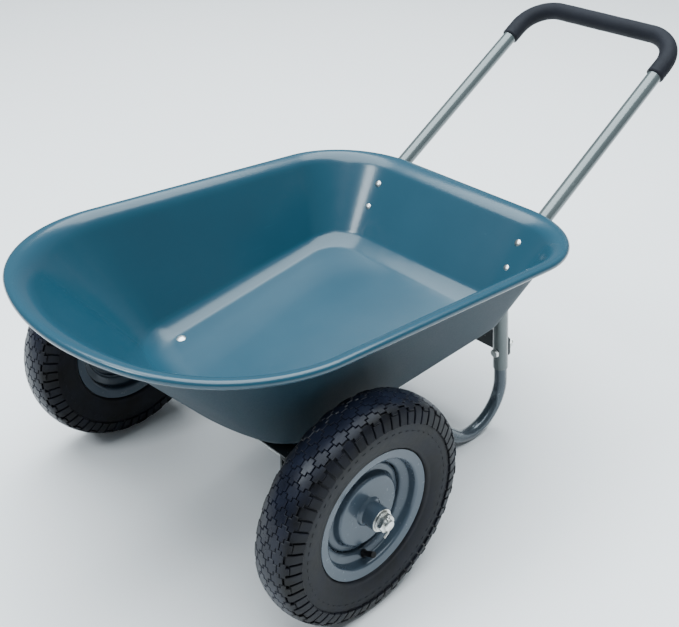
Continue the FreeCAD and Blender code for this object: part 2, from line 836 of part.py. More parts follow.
# ================================================================ assembly
pieces = {}
body = tub_body()
notch_path = bent_path([handle_point - handle_back * 60.0, handle_point + handle_back * 60.0], [])
for notch in both_sides(rod_along(notch_path, handle_tube_radius + 0.4)):
    body = body.cut(notch)
pieces["handle_tube"] = handle_tube()
pieces["foam_grip"] = foam_grip()
pieces["left_frame_tube"] = left_frame_tube()
pieces["right_frame_tube"] = mirrored(pieces["left_frame_tube"])
pieces["frame_end_caps"] = group(both_sides(left_end_cap()))
pieces["rear_strap"] = rear_strap()
pieces["front_strap"] = front_strap()
pieces["floor_spacers"] = floor_spacers()
pieces["left_axle_bracket"] = left_axle_bracket()
pieces["right_axle_bracket"] = mirrored(pieces["left_axle_bracket"])

# The upper wall bolts pass through the bend, so the washers there are thick
# ones, hollowed like saddles to the tube's back.
wall_grip = tub_wall + 2 * handle_tube_radius
floor_grip = tub_wall + front_strap_thickness + 2 * frame_tube_radius
leg_grip = 2 * handle_tube_radius + rear_strap_thickness
bracket_grip = 2 * (frame_tube_radius + bracket_gap + bracket_sheet)
stacks = {
    "wall": (wall_bolt_seats(), carriage_bolt(m6, wall_grip + 12.0), wall_grip, m6, 7.0,
             [washer_thickness] * 2 + [saddle_thickness] * 2),
    "floor": (floor_bolt_seats(), carriage_bolt(m8, floor_grip + 11.0), floor_grip, m8, 8.5,
              [washer_thickness] * 2),
    "leg": (leg_bolt_seats(), hex_bolt(m8, leg_grip + 13.0), leg_grip, m8, 8.5,
            [washer_thickness] * 2),
    "bracket": (bracket_bolt_seats(), hex_bolt(m8, bracket_grip + 11.0), bracket_grip, m8, 8.5,
                [washer_thickness] * 2)}
for place, stack in stacks.items():
    bolts, washers, nuts = bolt_stack(*stack)
    pieces[place + "_bolts"] = bolts
    pieces[place + "_washers"] = washers
    pieces[place + "_nuts"] = nuts
flat_washers, saddles = pieces["wall_washers"].Solids[:2], pieces["wall_washers"].Solids[2:]
filled_handle = rod_along(handle_path(), handle_tube_radius)
pieces["wall_washers"] = group(flat_washers + [saddle.cut(filled_handle) for saddle in saddles])
pieces["tub"] = body.cut(pieces["wall_bolts"]).cut(pieces["floor_bolts"])

pieces["axle"] = axle()
pieces["axle_nuts"] = axle_nuts()
pieces["axle_washers"] = axle_washers()
pieces["cotter_pins"] = cotter_pins()
pieces["axle_spacers"] = axle_spacers()
pieces["hub_spacers"] = hub_spacers()

wheel_makers = {
    "tyre": tyre, "inner_tube": inner_tube, "wheel_rim": wheel_rim, "wheel_disc": wheel_disc,
    "hub_tube": hub_tube, "hub_weld": weld_bead, "valve_stem": valve_stem, "valve_cap": valve_cap,
    "bearing_outer_rings": lambda: group(bearing_outer_rings()),
    "bearing_inner_rings": lambda: group(bearing_inner_rings()),
    "bearing_balls": lambda: group(bearing_balls())}
for name, make in wheel_makers.items():
    left = on_wheel(make())
    pieces["left_" + name] = left
    pieces["right_" + name] = mirrored(left)

back_end = pieces["foam_grip"].optimalBoundingBox().XMin
front_end = pieces["tub"].optimalBoundingBox().XMax
axle_x = -(back_end + front_end) / 2
os.makedirs("parts", exist_ok=True)
for name, shape in pieces.items():
    shape.translated(V(axle_x, 0, 0)).exportStep("parts/" + name + ".step")
    solids = shape.Solids
    print(f"{name:28s} {len(solids):3d} solids {shape.Volume / 1000:9.1f} cm3 valid {shape.isValid()}")
print("axle_x", round(axle_x, 3), "length", round(front_end - back_end, 1))
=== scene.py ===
# %% [markdown]
# A garden cart, piece by piece: a moulded tub, a bent-tube frame with a loop
# handle, and two pneumatic wheels. The engineering model is loaded first as a
# fixed frame, and every visible piece is then placed from that frame's boxes.
# All sizes below are in millimetres, turned to metres by MM, because that is
# how a maker would measure the cart.

# %% Load the frame
import json
import math

import bmesh
import bpy
from mathutils import Matrix, Vector, noise

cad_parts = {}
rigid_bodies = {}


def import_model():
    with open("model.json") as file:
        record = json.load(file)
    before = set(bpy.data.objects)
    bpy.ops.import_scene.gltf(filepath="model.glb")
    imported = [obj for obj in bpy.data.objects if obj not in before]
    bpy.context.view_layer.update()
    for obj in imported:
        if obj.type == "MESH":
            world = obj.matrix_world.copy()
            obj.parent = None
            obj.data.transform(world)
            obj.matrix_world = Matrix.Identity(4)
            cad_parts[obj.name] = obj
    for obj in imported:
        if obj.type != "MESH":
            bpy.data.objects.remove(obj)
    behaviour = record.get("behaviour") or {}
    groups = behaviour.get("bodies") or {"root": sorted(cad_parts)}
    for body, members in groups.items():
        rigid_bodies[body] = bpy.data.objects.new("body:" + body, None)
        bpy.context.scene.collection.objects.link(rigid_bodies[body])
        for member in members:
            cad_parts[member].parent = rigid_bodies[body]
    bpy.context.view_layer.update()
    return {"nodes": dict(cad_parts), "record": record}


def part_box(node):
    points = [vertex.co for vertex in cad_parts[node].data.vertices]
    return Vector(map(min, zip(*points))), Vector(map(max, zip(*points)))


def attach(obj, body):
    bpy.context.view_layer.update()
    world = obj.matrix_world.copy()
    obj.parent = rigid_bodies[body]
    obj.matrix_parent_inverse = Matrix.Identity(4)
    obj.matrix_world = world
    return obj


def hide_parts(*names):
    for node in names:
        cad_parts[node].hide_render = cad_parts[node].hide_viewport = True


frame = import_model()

MM = 0.001
NODES = frame["nodes"]
axle_low, axle_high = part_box("axle")
AXLE = (axle_low + axle_high) / 2
print("axle centre", [round(value, 4) for value in AXLE], "nodes", len(NODES))

# %% [markdown]
# Every new piece goes through the same last steps: turn a bmesh into an
# object, give it its material, say which body it rides on and hide the
# engineering node it stands for.
# One helper does that, so that no piece can miss a step.

# %% Finish a piece
made = []


def finish_piece(name, mesh_data, body, slot, material, *stands_for):
    """Make an object from a bmesh, and ride and replace in one place. slot is not used."""
    mesh = bpy.data.meshes.new(name)
    mesh_data.to_mesh(mesh)
    mesh_data.free()
    piece = bpy.data.objects.new(name, mesh)
    bpy.context.scene.collection.objects.link(piece)
    piece.data.materials.append(material)
    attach(piece, body)
    if stands_for:
        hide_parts(*stands_for)
    made.append(name)
    print(f"{name}: {len(mesh.polygons)} faces on {body}")
    return piece


def mark_creases(bm, degrees):
    """Shade smooth, but keep edges sharper than this angle crisp."""
    limit = math.radians(degrees)
    for face in bm.faces:
        face.smooth = True
    for edge in bm.edges:
        edge.smooth = edge.calc_face_angle(0.0) < limit


# %% [markdown]
# Shader maths reads best as arithmetic. A small class wraps one output socket
# and turns +, - and * into Math nodes, in both orders, so that 1 - mask works.
# Everything else is added by one method, which takes the node's type, its
# settings and what goes into its sockets.

# %% Shader helpers
class Value:
    """One output socket that can be used in an expression."""

    def __init__(self, graph, socket):
        self.graph = graph
        self.socket = socket

    def _math(self, operation, first, second):
        settings = {"operation": operation}
        return self.graph.add("Math", settings, {0: first, 1: second})

    def __add__(self, other):
        return self._math("ADD", self, other)

    def __sub__(self, other):
        return self._math("SUBTRACT", self, other)

    def __rsub__(self, other):
        return self._math("SUBTRACT", other, self)

    def __mul__(self, other):
        return self._math("MULTIPLY", self, other)

    __radd__ = __add__
    __rmul__ = __mul__


# A Mix node lists its sockets for every type of data. These are the places of
# the share, the two colours going in and the colour coming out.
MIX_SHARE, MIX_FIRST, MIX_SECOND, MIX_RESULT = 0, 6, 7, 2


class Graph:
    """A material's node tree, built from expressions."""

    def __init__(self, name):
        self.material = bpy.data.materials.new(name)
        self.material.use_nodes = True
        self.tree = self.material.node_tree
        self.tree.nodes.clear()
        self.place = self.add("TexCoord", {}, {}, "Object")

    def add(self, kind, settings, inputs, output=0):
        """Add a node, and return the output that the next step reads."""
        node = self.tree.nodes.new("ShaderNode" + kind)
        for key, value in settings.items():
            setattr(node, key, value)
        for key, value in inputs.items():
            if isinstance(value, Value):
                self.tree.links.new(value.socket, node.inputs[key])
            else:
                node.inputs[key].default_value = value
        return Value(self, node.outputs[output]) if node.outputs else None

    def noise(self, scale, detail=4.0, roughness=0.55, stretch=(1.0, 1.0, 1.0)):
        """Noise from 0 to 1, with scale in features per metre."""
        spot = self.add("Mapping", {}, {"Vector": self.place, "Scale": stretch})
        return self.add("TexNoise", {}, {"Vector": spot, "Scale": scale, "Detail": detail,
                                         "Roughness": roughness})

    def cells(self, scale):
        """Distance to the nearest cell's middle, with scale in cells per metre."""
        return self.add("TexVoronoi", {}, {"Vector": self.place, "Scale": scale}, "Distance")

    def band(self, value, low, high):
        """0 below low, 1 above high, and a ramp between them."""
        return self.add("MapRange", {}, {"Value": value, "From Min": low, "From Max": high})

    def mix(self, share, first, second):
        """Colour between first and second."""
        return self.add("Mix", {"data_type": "RGBA"},
                        {MIX_SHARE: share, MIX_FIRST: first, MIX_SECOND: second}, MIX_RESULT)

    def bump(self, height, distance, strength=1.0, normal=None):
        """Relief with distance as its depth in metres, on top of another normal."""
        inputs = {"Height": height, "Distance": distance, "Strength": strength}
        if normal is not None:
            inputs["Normal"] = normal
        return self.add("Bump", {}, inputs)

    def finish(self, **sockets):
        """Principled shader from the given sockets, written with underscores."""
        inputs = {key.replace("_", " "): value for key, value in sockets.items()}
        surface = self.add("BsdfPrincipled", {}, inputs)
        self.add("OutputMaterial", {}, {"Surface": surface})
        print("material", self.material.name)
        return self.material


def colour(red, green, blue):
    """Linear colour from the 0-255 values of a paint chart."""
    def linear(level):
        share = level / 255
        return share / 12.92 if share <= 0.04045 else ((share + 0.055) / 1.055) ** 2.4
    return (linear(red), linear(green), linear(blue), 1.0)


print("mid grey on the chart is", round(colour(128, 128, 128)[0], 3), "in linear light")


# %% [markdown]
# The tub is thick moulded plastic in one teal-blue colour, with a soft gloss.
# Real mouldings are never a single value: the gloss drifts in broad patches,
# the surface has a faint ripple from the mould, and fine handling marks catch
# the light. Each of those is one noise with its own scale.

# %% Tub plastic
def tub_plastic():
    g = Graph("tub_plastic")
    patches = g.noise(5.0, detail=3.0)
    ripple = g.noise(38.0, detail=2.0, roughness=0.4)
    grain = g.noise(900.0, detail=3.0, roughness=0.6)
    streak = g.noise(60.0, detail=5.0, roughness=0.65, stretch=(0.25, 1.0, 3.0))
    scuffs = g.band(streak, 0.64, 0.80)
    base = g.mix(patches, colour(26, 60, 75), colour(32, 69, 85))
    worn = g.mix(scuffs * 0.05, base, colour(96, 138, 150))
    gloss = patches * 0.10 + scuffs * 0.04 + grain * 0.05 + 0.16
    shape = g.bump(ripple, distance=0.0006, strength=0.35)
    skin = g.bump(grain, distance=0.00012, strength=0.30, normal=shape)
    return g.finish(Base_Color=worn, Roughness=gloss, Normal=skin, Specular_IOR_Level=0.42,
                    Coat_Weight=0.12, Coat_Roughness=0.08)


FINISH = {"tub_plastic": tub_plastic()}

# %% [markdown]
# The outside of the tub is the textured half of the mould: matt, with a fine
# leather grain and a trace of dust that gathers in soft clouds. Its colour is
# painted darker than the inside, as painted shade for the underside.

# %% Tub outside
def tub_outside_painted_shade():
    g = Graph("tub_outside_painted_shade")
    grain = g.cells(620.0)
    dust = g.noise(14.0, detail=5.0, roughness=0.6)
    # painted shade: both colours are darker than the inside of the tub, with real dust between them
    base = g.mix(g.band(dust, 0.45, 0.8) * 0.5, colour(12, 38, 50), colour(26, 52, 62))
    gloss = grain * 0.12 + dust * 0.12 + 0.42
    normal = g.bump(grain, distance=0.00025, strength=0.35)
    return g.finish(Base_Color=base, Roughness=gloss, Normal=normal, Specular_IOR_Level=0.18)


shaded_outside_plastic = tub_outside_painted_shade()

# %% [markdown]
# The handle and the frame share a glossy silver-grey paint over steel tube.
# Sprayed paint has a slight orange peel, and thin metallic flake, which lifts
# the highlight along the tube. Rubbed spots are a little rougher. One recipe
# serves four paints: the legs and rails have the handle's paint, painted darker
# as painted shade for the shadow of the tub, and the brackets and the rims have
# less flake and a thinner clear coat.

# %% Tube paint
def tube_paint(name, dark, light, metal, coat):
    g = Graph(name)
    peel = g.noise(420.0, detail=2.0, roughness=0.5)
    cloud = g.noise(9.0, detail=4.0)
    rubbed = g.band(g.noise(130.0, detail=6.0, roughness=0.7), 0.62, 0.74)
    base = g.mix(cloud, dark, light)
    worn = g.mix(rubbed * 0.10, base, colour(150, 152, 150))
    gloss = cloud * 0.08 + rubbed * 0.18 + 0.20
    normal = g.bump(peel, distance=0.00015, strength=0.25)
    return g.finish(Base_Color=worn, Roughness=gloss, Metallic=metal, Normal=normal,
                    Specular_IOR_Level=0.35, Coat_Weight=coat, Coat_Roughness=0.08)


FINISH["tube_paint"] = tube_paint("tube_paint", colour(84, 92, 93), colour(100, 108, 108), 0.45, 0.5)
FINISH["bracket_paint"] = tube_paint("bracket_paint", colour(40, 44, 46), colour(52, 56, 58), 0.2, 0.2)
FINISH["rim_paint"] = tube_paint("rim_paint", colour(54, 65, 76), colour(64, 76, 87), 0.1, 0.12)
# painted shade: the legs and rails get a darker copy of the handle's paint
frame_paint_painted_shade = tube_paint("frame_paint_painted_shade", colour(62, 72, 80), colour(74, 84, 92), 0.35, 0.5)

# %% [markdown]
# The fasteners, the axle and the bearings show bright metal, but no mirror:
# zinc plate has a fine crystal grain, and its roughness changes from crystal
# to crystal. A cell pattern gives that better than plain noise does.

# %% Zinc plate
def zinc_plate(name, tone, rough):
    g = Graph(name)
    crystal = g.cells(900.0)
    stain = g.noise(70.0, detail=5.0, roughness=0.6)
    base = g.mix(g.band(stain, 0.45, 0.75), tone, colour(176, 172, 160))
    gloss = crystal * 0.14 + stain * 0.12 + rough
    normal = g.bump(g.noise(1500.0, detail=2.0), distance=0.00005, strength=0.25)
    return g.finish(Base_Color=base, Roughness=gloss, Metallic=1.0, Normal=normal)


FINISH["zinc"] = zinc_plate("zinc", colour(214, 216, 214), 0.16)
FINISH["bearing_steel"] = zinc_plate("bearing_steel", colour(186, 188, 190), 0.12)

# %% [markdown]
# The grip is closed-cell foam: matt charcoal with a skin of tiny pores and a
# faint dusty bloom. The pores are a fine cell pattern, used for both the bump
# and the colour: each pit is also painted a little darker, as painted shade.

# %% Grip foam
def grip_foam():
    g = Graph("grip_foam")
    pores_and_pit_shade = g.band(g.cells(1300.0), 0.15, 0.55)
    skin = g.noise(240.0, detail=5.0, roughness=0.6)
    dust = g.noise(22.0, detail=4.0)
    base = g.mix(dust, colour(10, 12, 20), colour(19, 22, 32))
    # painted shade: each pore is darkened towards near black
    top = g.mix(pores_and_pit_shade * 0.6 + 0.4, colour(3, 3, 4), base)
    gloss = skin * 0.14 + 0.66
    soft = g.bump(skin, distance=0.0006, strength=0.45)
    normal = g.bump(pores_and_pit_shade, distance=0.00025, strength=0.40, normal=soft)
    return g.finish(Base_Color=top, Roughness=gloss, Normal=normal, Specular_IOR_Level=0.25)


FINISH["grip_foam"] = grip_foam()

# %% [markdown]
# Moulded plastic trim and the butyl air tube share one recipe: nearly black,
# with a soft gloss where the mould was polished and a faint dull film.

# %% Rubber and black plastic
def rubber(name, deep, bloom, rough, grain_size):
    g = Graph(name)
    film = g.noise(30.0, detail=5.0, roughness=0.6)
    grain = g.noise(grain_size, detail=3.0, roughness=0.6)
    mould = g.noise(160.0, detail=4.0, roughness=0.55)
    base = g.mix(g.band(film, 0.35, 0.75), deep, bloom)
    gloss = film * 0.16 + mould * 0.10 + rough
    soft = g.bump(mould, distance=0.0004, strength=0.35)
    normal = g.bump(grain, distance=0.00012, strength=0.35, normal=soft)
    return g.finish(Base_Color=base, Roughness=gloss, Normal=normal, Specular_IOR_Level=0.2)


FINISH["black_plastic"] = rubber("black_plastic", colour(12, 12, 13), colour(22, 22, 24), 0.34, 1100.0)
FINISH["tube_rubber"] = rubber("tube_rubber", colour(16, 16, 17), colour(26, 26, 28), 0.45, 700.0)

# %% [markdown]
# Tread blocks are polished by the road and the side walls are not. Distance
# from the axle tells them apart, so the tops of the blocks are given a tighter
# gloss and a lighter blue-grey colour, which is a painted highlight, and the
# grooves and walls stay dull and black.

# %% Tyre rubber
GROOVE_RADIUS = 0.1585
BLOCK_TOP_RADIUS = 0.1635


def tyre_rubber():
    g = Graph("tyre_rubber")
    spoke = g.add("VectorMath", {"operation": "MULTIPLY_ADD"},
                  {0: g.place, 1: (1.0, 0.0, 1.0), 2: (-AXLE.x, 0.0, -AXLE.z)})
    radius = g.add("VectorMath", {"operation": "LENGTH"}, {0: spoke}, "Value")
    top = g.band(radius, GROOVE_RADIUS, BLOCK_TOP_RADIUS)
    film = g.noise(30.0, detail=5.0, roughness=0.6)
    grain = g.noise(900.0, detail=3.0, roughness=0.6)
    mould = g.noise(160.0, detail=4.0, roughness=0.55)
    # painted highlight: the tops of the blocks are lighter and blue-grey; the film adds a real dull bloom
    base = g.mix(g.band(film, 0.35, 0.75) * 0.5 + top * 0.5, colour(2, 2, 4), colour(24, 28, 42))
    gloss = film * 0.14 + mould * 0.10 + (1 - top) * 0.22 + 0.18
    soft = g.bump(mould, distance=0.0004, strength=0.35)
    normal = g.bump(grain, distance=0.00012, strength=0.35, normal=soft)
    return g.finish(Base_Color=base, Roughness=gloss, Normal=normal, Specular_IOR_Level=0.18)


FINISH["tyre_rubber"] = tyre_rubber()

# %% [markdown]
# Each finish is kept by the name of its slot, so that a piece only has to say
# which slot it takes.

# %% Slots and bodies
SLOT_OF = {row["node"]: row["material_slot"] for row in frame["record"]["subparts"]}
BODY_OF = {node: body for body, group in frame["record"]["behaviour"]["bodies"].items()
           for node in group}
SIDES = ("left", "right")
print("finishes", len(FINISH), "for", len(SLOT_OF), "nodes")

# %% [markdown]
# The tub is one skin that changes shape from level to level: a rounded
# rectangle at the floor, and a wide rounded nose at the rim. Each level is an
# outline mixed from three named ones: floor, wall top and crest. An outline
# has its back edge, its half width with a taper along the side, the tip and
# the radius of its nose, and the radii of its shoulders and back corners.

# %% Tub outlines
FLOOR = dict(back=-413.0, half=181.9, taper=-0.047, nose=52.0,
             nose_radius=420.0, shoulder=62.0, corner=62.0)
WALL_TOP = dict(back=-500.0, half=262.0, taper=0.0, nose=249.0,
                nose_radius=362.0, shoulder=212.0, corner=115.0)
CREST = dict(back=-526.0, half=278.5, taper=0.0, nose=268.5,
             nose_radius=370.0, shoulder=225.0, corner=145.0)
FLOOR_HEIGHT = 204.9
RIM_HEIGHT = 410.0
FLOOR_TILT = math.atan(-0.102)
RIM_TILT = math.radians(3.585)
print("tub", round(CREST["nose"] - CREST["back"]), "mm long and", round(2 * CREST["half"]), "mm wide")

# %% [markdown]
# Half an outline is drawn as straight runs and arcs, and every outline has the
# same count of stations, which is what lets three of them be mixed. The only
# hard point is the shoulder's centre: it lies a fixed distance from the centre
# of the nose and on a line beside the straight side, so it is the root of a
# quadratic equation.

# %% Stations of an outline
BACK_STEPS = 8
CORNER_STEPS = 16
SIDE_STEPS = 12
SHOULDER_STEPS = 22
NOSE_STEPS = 18


def arc_stations(centre_x, centre_y, radius, start, end, count):
    """Points on an arc, without its first one."""
    turns = [start + (end - start) * step / count for step in range(1, count + 1)]
    return [(centre_x + radius * math.cos(turn), centre_y + radius * math.sin(turn))
            for turn in turns]


def half_outline(plan, grow):
    """Stations from the middle of the back, round the left side, to the nose."""
    taper = plan["taper"]
    stretch = math.hypot(1, taper)
    back = plan["back"] - grow
    corner = plan["corner"] + grow
    shoulder = plan["shoulder"] + grow
    nose_radius = plan["nose_radius"] + grow
    nose_x = plan["nose"] - plan["nose_radius"]
    inset = plan["half"] + grow * stretch - shoulder * stretch
    reach = nose_radius - shoulder
    square = 1 + taper ** 2
    linear = -2 * nose_x + 2 * taper * inset
    constant = nose_x ** 2 + inset ** 2 - reach ** 2
    shoulder_x = (-linear + math.sqrt(linear * linear - 4 * square * constant)) / (2 * square)
    shoulder_y = inset + taper * shoulder_x
    corner_x = back + corner
    corner_y = plan["half"] + grow * stretch + taper * corner_x - corner * stretch
    side_turn = math.atan2(1, -taper)
    nose_turn = math.atan2(shoulder_y, shoulder_x - nose_x)
    stations = [(back, corner_y * step / BACK_STEPS) for step in range(BACK_STEPS + 1)]
    stations += arc_stations(corner_x, corner_y, corner, math.pi, side_turn, CORNER_STEPS)
    last_x, last_y = stations[-1]
    first_x = shoulder_x + shoulder * math.cos(side_turn)
    first_y = shoulder_y + shoulder * math.sin(side_turn)
    stations += [(last_x + (first_x - last_x) * step / SIDE_STEPS,
                  last_y + (first_y - last_y) * step / SIDE_STEPS)
                 for step in range(1, SIDE_STEPS + 1)]
    stations += arc_stations(shoulder_x, shoulder_y, shoulder, side_turn, nose_turn, SHOULDER_STEPS)
    stations += arc_stations(nose_x, 0.0, nose_radius, nose_turn, 0.0, NOSE_STEPS)
    return stations


print("stations on half the rim", len(half_outline(CREST, 0.0)))

# %% [markdown]
# From the bottom up, the levels make the rounded floor edge, the straight
# wall, the flare of the rim and the lip that rolls over and down. The curves
# are quadratic ones on the weights of the three outlines, so a level never
# leaves the family of outlines. The floor edge is flattened a little, which
# gives it the broad highlight of a soft moulding.

# %% Levels of the tub
WALL_TOP_SHARE = 0.88
FILLET_SHARE = 0.10
FLOOR_EDGE_SHARE = 0.20
FILLET_FLATNESS = 0.6
FILLET_STEPS = 10
WALL_SHARES = (0.13, 0.3, 0.5, 0.7, 0.85, WALL_TOP_SHARE)
FLARE_STEPS = 10
ROLL_RADIUS = 6.0
ROLL_TURN = math.radians(162)
ROLL_STEPS = 12


def tub_level(weights, height_share, grow=0.0, lift=0.0):
    """All stations of one level, as points in the frame."""
    plan = {key: sum(weight * outline[key] for weight, outline in zip(weights, (FLOOR, WALL_TOP, CREST)))
            for key in FLOOR}
    left = half_outline(plan, grow)
    right = [(x, -y) for x, y in left[-2:0:-1]]
    tilt = FLOOR_TILT + (RIM_TILT - FLOOR_TILT) * height_share
    height = FLOOR_HEIGHT + (RIM_HEIGHT - FLOOR_HEIGHT) * height_share + lift
    return [Vector((x * math.cos(tilt) * MM + AXLE.x, y * MM, (height + x * math.sin(tilt)) * MM))
            for x, y in left + right]


def fillet_level(t):
    """A level of the rounded floor edge, with t from 0 to 1."""
    round_outward = -FLOOR_EDGE_SHARE * (1 - t) ** 2 + FILLET_SHARE * t ** 2
    flat_outward = -FLOOR_EDGE_SHARE * (1 - t) + FILLET_SHARE * t
    outward = round_outward + (flat_outward - round_outward) * FILLET_FLATNESS
    upward = FILLET_SHARE * (t ** 2 + (t - t ** 2) * FILLET_FLATNESS)
    return tub_level((1 - outward, outward, 0.0), upward)


def wall_level(share):
    """A level of the wall, on straight lines between the fillet and the flare."""
    low = tub_level((1 - FILLET_SHARE, FILLET_SHARE, 0.0), FILLET_SHARE)
    high = tub_level((1 - WALL_TOP_SHARE, WALL_TOP_SHARE, 0.0), WALL_TOP_SHARE)
    t = (share - FILLET_SHARE) / (WALL_TOP_SHARE - FILLET_SHARE)
    return [foot.lerp(head, t) for foot, head in zip(low, high)]


def flare_level(t):
    """A level of the flare, from the wall top to the crest of the rim."""
    start = (1 - t) ** 2
    control = 2 * t * (1 - t)
    weights = (start * (1 - WALL_TOP_SHARE), start * WALL_TOP_SHARE + control, t ** 2)
    return tub_level(weights, start * WALL_TOP_SHARE + control + t ** 2)


def lip_level(turn):
    """A level of the rolled lip, outside the crest."""
    return tub_level((0.0, 0.0, 1.0), 1.0, ROLL_RADIUS * math.sin(turn),
                     ROLL_RADIUS * math.cos(turn) - ROLL_RADIUS)


def tub_levels():
    """Every level, from the bottom up."""
    levels = [fillet_level(step / FILLET_STEPS) for step in range(FILLET_STEPS + 1)]
    levels += [wall_level(share) for share in WALL_SHARES]
    levels += [flare_level(step / FLARE_STEPS) for step in range(1, FLARE_STEPS + 1)]
    levels += [lip_level(ROLL_TURN * step / ROLL_STEPS) for step in range(1, ROLL_STEPS + 1)]
    return levels


print("levels of the tub", len(tub_levels()))

# %% [markdown]
# A loop of edges starts round the floor and is extruded from level to level,
# which keeps the same stations all the way up, so that the flow of the faces
# follows the moulding. The floor is closed with one flat face. Shading would
# bend across it where it meets the fillet, so a narrow inset ring is added: the
# ring takes the change, and the middle stays truly flat. Solidify then gives
# the skin its wall, on the outside only, because the inside is the measured
# face.

# %% Build the tub
TUB_WALL = 3.3
FLOOR_RING = 6.0
TUB_CREASE = 60


def build_tub():
    levels = tub_levels()
    bm = bmesh.new()
    station = bm.verts.layers.int.new("station")
    ring = [bm.verts.new(point) for point in levels[0]]
    for index, vert in enumerate(ring):
        vert[station] = index
    floor = bm.faces.new(ring)
    if floor.normal.z < 0:
        floor.normal_flip()
    edges = list(floor.edges)
    for level in levels[1:]:
        grown = bmesh.ops.extrude_edge_only(bm, edges=edges)["geom"]
        fresh = {item for item in grown if isinstance(item, bmesh.types.BMVert)}
        for vert in fresh:
            vert.co = level[vert[station]]
        edges = [item for item in grown if isinstance(item, bmesh.types.BMEdge)
                 and item.verts[0] in fresh and item.verts[1] in fresh]
    bmesh.ops.inset_region(bm, faces=[floor], thickness=FLOOR_RING * MM)
    bmesh.ops.recalc_face_normals(bm, faces=bm.faces)
    floor_face = max(bm.faces, key=lambda face: face.calc_area())
    if floor_face.normal.z < 0:
        bmesh.ops.reverse_faces(bm, faces=bm.faces)
    mark_creases(bm, TUB_CREASE)
    tub = finish_piece("tub_shell", bm, "cart", "tub_plastic", FINISH["tub_plastic"], "tub")
    wall = tub.modifiers.new("wall", "SOLIDIFY")
    wall.thickness = TUB_WALL * MM
    wall.offset = -1
    wall.use_even_offset = True
    # the outside faces take the darker material, which is painted shade
    tub.data.materials.append(shaded_outside_plastic)
    wall.material_offset = 1
    return tub


tub = build_tub()

# %% [markdown]
# Every steel, zinc and plastic piece that is only a turned, bent or stamped
# shape already has its true form in the engineering model. What it lacks is
# shading: its mesh is loose triangles. A merged copy with creased edges stands
# in for each one, and takes the finish of the slot that the piece is listed
# under.

# %% Carry the plain pieces over
REBUILT = ("tub", "foam_grip", "left_tyre", "right_tyre")
MERGE_GAP = 0.003 * MM
TRIM_CREASE = 32


def finished_copy(node):
    """A merged, smooth-shaded copy that stands in for the node."""
    bm = bmesh.new()
    bm.from_mesh(NODES[node].data)
    bmesh.ops.remove_doubles(bm, verts=bm.verts, dist=MERGE_GAP)
    bmesh.ops.recalc_face_normals(bm, faces=bm.faces)
    mark_creases(bm, TRIM_CREASE)
    slot = SLOT_OF[node]
    return finish_piece(node + "_shown", bm, BODY_OF[node], slot, FINISH[slot], node)


for node in sorted(NODES):
    if node not in REBUILT:
        finished_copy(node)
# the legs and rails take the darker paint, which is painted shade
for side in SIDES:
    bpy.data.objects[side + "_frame_tube_shown"].data.materials[0] = frame_paint_painted_shade
print("plain pieces carried over", len(NODES) - len(REBUILT))

# %% [markdown]
# The grip is a soft sleeve pushed over the loop of the handle. It follows the
# tube: a short straight, a bend, the cross bar, and back again. The line is
# worked out for the left half and mirrored for the right, in millimetres from
# the axle, and each point keeps the direction of the tube there.

# %% Line of the grip
HANDLE_POINT = Vector((-542.9, 157.0, 366.2))
HANDLE_SLOPE = math.radians(31.7)
HANDLE_REACH = 421.0
HANDLE_BEND = 60.0
GRIP_START = 331.0
STRAIGHT_STEPS = 12
BEND_STEPS = 32
BAR_STEPS = 60
HANDLE_BACK = Vector((-math.cos(HANDLE_SLOPE), 0.0, math.sin(HANDLE_SLOPE)))
ACROSS = Vector((0.0, -1.0, 0.0))


def grip_line():
    """Centre line of the grip as (point, direction) pairs, in millimetres."""
    corner = HANDLE_POINT + HANDLE_BACK * HANDLE_REACH
    centre = corner - HANDLE_BACK * HANDLE_BEND + ACROSS * HANDLE_BEND
    start = HANDLE_POINT + HANDLE_BACK * GRIP_START
    bend_start = corner - HANDLE_BACK * HANDLE_BEND
    line = [(start.lerp(bend_start, step / STRAIGHT_STEPS), HANDLE_BACK)
            for step in range(STRAIGHT_STEPS)]
    for step in range(BEND_STEPS + 1):
        turn = math.pi / 2 * step / BEND_STEPS
        spot = centre - ACROSS * HANDLE_BEND * math.cos(turn) + HANDLE_BACK * HANDLE_BEND * math.sin(turn)
        line.append((spot, HANDLE_BACK * math.cos(turn) + ACROSS * math.sin(turn)))
    left_half = list(line)
    bar_start = line[-1][0]
    bar_end = Vector((bar_start.x, -bar_start.y, bar_start.z))
    line += [(bar_start.lerp(bar_end, step / BAR_STEPS), ACROSS) for step in range(1, BAR_STEPS)]
    right_half = [(Vector((spot.x, -spot.y, spot.z)), Vector((-way.x, way.y, -way.z)))
                  for spot, way in left_half[::-1]]
    return line + right_half


print("rings along the grip", len(grip_line()))

# %% [markdown]
# Foam is never an exact cylinder. Its radius rounds in at the two ends, and
# swells and shrinks by a few tenths of a millimetre: one noise changes slowly
# along the sleeve, and a finer one changes round it as well.

# %% Radius of the grip
GRIP_RADIUS = 16.0
ROUND_LENGTH = 3.0
ROUND_DEPTH = 2.6
SKIN_GAP = 0.1


def grip_radius(spot, turn, along, length):
    """Outer radius of the foam, in millimetres."""
    end_gap = min(along, length - along)
    rounding = ROUND_DEPTH * (1 - min(end_gap / ROUND_LENGTH, 1.0)) ** 2
    slow = noise.noise(spot * 0.02) * 0.30
    soft = noise.noise(Vector((math.cos(turn), math.sin(turn), along * 0.045)) * 1.3) * 0.22
    return GRIP_RADIUS - SKIN_GAP - rounding + slow + soft


print("radius at the end", round(grip_radius(Vector(), 0.0, 0.0, 100.0), 2),
      "and in the middle", round(grip_radius(Vector(), 0.0, 50.0, 100.0), 2), "mm")

